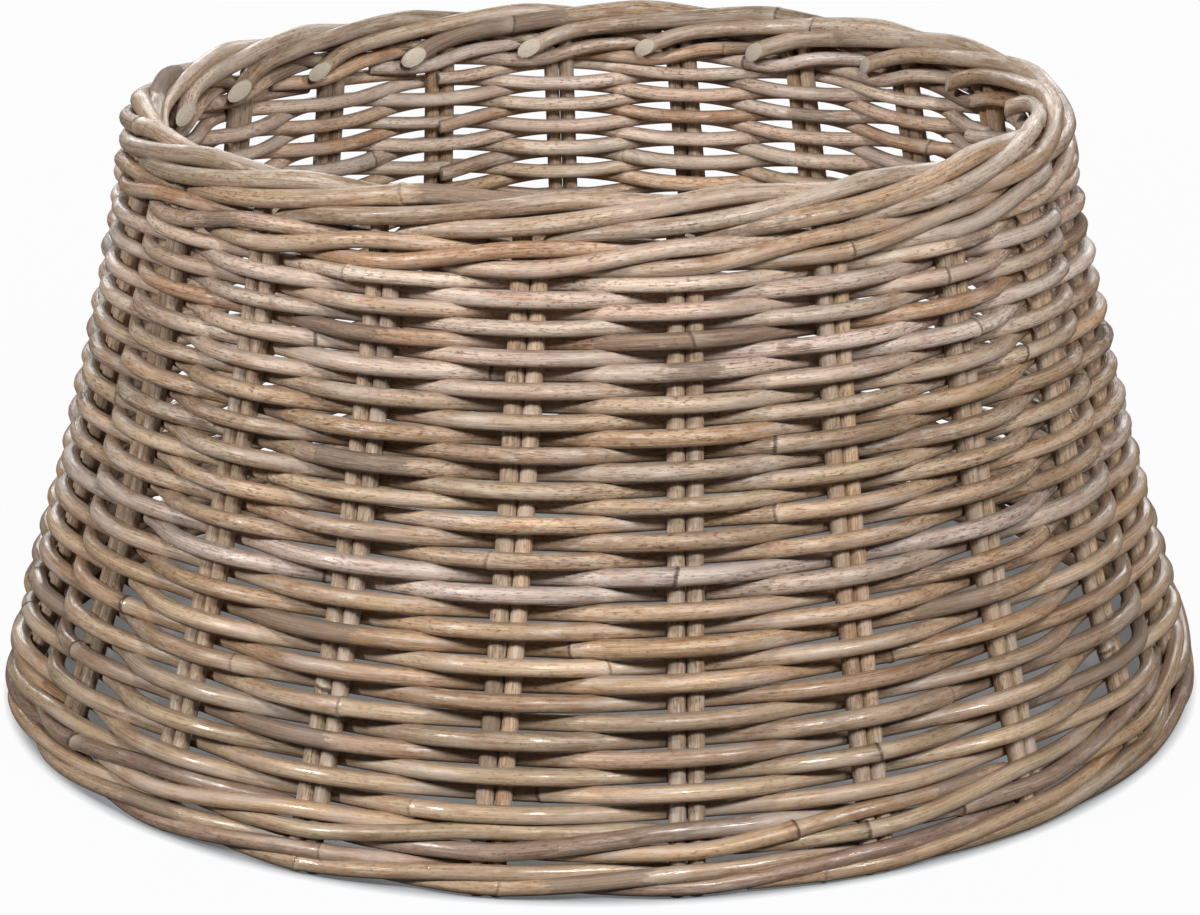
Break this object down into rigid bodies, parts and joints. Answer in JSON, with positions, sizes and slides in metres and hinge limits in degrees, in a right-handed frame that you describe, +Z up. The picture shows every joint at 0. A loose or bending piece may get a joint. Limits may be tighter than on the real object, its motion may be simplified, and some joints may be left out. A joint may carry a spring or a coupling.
{
  "type": "christmas tree collar",
  "caption": "Round flared basket-work collar of rattan canes, open above and below, that stands on the floor around the foot and stand of a Christmas tree.",
  "frame": {"origin": "on the floor in the middle of the collar, at the height of the stakes' cut feet", "axes": "+Z up along the collar's axis, -Y towards the front that the picture shows, +X to the right of that front"},
  "size_m": [0.5694, 0.5685, 0.284],
  "materials": {
    "stake_cane": "greyish tan rattan, satin, fine lengthwise grain",
    "weaver_cane": "mottled grey to warm tan rattan, satin, dark node rings",
    "wale_cane": "mottled pale tan rattan, satin, patches of bark"
  },
  "bodies": {
    "root": {"long_stake_01": "stake_cane", "short_stake_01": "stake_cane", "long_stake_02": "stake_cane", "short_stake_02": "stake_cane", "long_stake_03": "stake_cane", "short_stake_03": "stake_cane", "long_stake_04": "stake_cane", "short_stake_04": "stake_cane", "long_stake_05": "stake_cane", "short_stake_05": "stake_cane", "long_stake_06": "stake_cane", "short_stake_06": "stake_cane", "long_stake_07": "stake_cane", "short_stake_07": "stake_cane", "long_stake_08": "stake_cane", "short_stake_08": "stake_cane", "long_stake_09": "stake_cane", "short_stake_09": "stake_cane", "long_stake_10": "stake_cane", "short_stake_10": "stake_cane", "long_stake_11": "stake_cane", "short_stake_11": "stake_cane", "long_stake_12": "stake_cane", "short_stake_12": "stake_cane", "long_stake_13": "stake_cane", "short_stake_13": "stake_cane", "long_stake_14": "stake_cane", "short_stake_14": "stake_cane", "long_stake_15": "stake_cane", "short_stake_15": "stake_cane", "long_stake_16": "stake_cane", "short_stake_16": "stake_cane", "long_stake_17": "stake_cane", "short_stake_17": "stake_cane", "long_stake_18": "stake_cane", "short_stake_18": "stake_cane", "long_stake_19": "stake_cane", "short_stake_19": "stake_cane", "long_stake_20": "stake_cane", "short_stake_20": "stake_cane", "long_stake_21": "stake_cane", "short_stake_21": "stake_cane", "weaver_01": "weaver_cane", "weaver_02": "weaver_cane", "weaver_03": "weaver_cane", "weaver_04": "weaver_cane", "weaver_05": "weaver_cane", "weaver_06": "weaver_cane", "weaver_07": "weaver_cane", "weaver_08": "weaver_cane", "lower_foot_cane_01": "wale_cane", "lower_foot_cane_02": "wale_cane", "lower_foot_cane_03": "wale_cane", "upper_foot_cane_01": "wale_cane", "upper_foot_cane_02": "wale_cane", "upper_foot_cane_03": "wale_cane", "top_wale_cane_01": "wale_cane", "top_wale_cane_02": "wale_cane", "top_wale_cane_03": "wale_cane"}
  },
  "joints": []
}
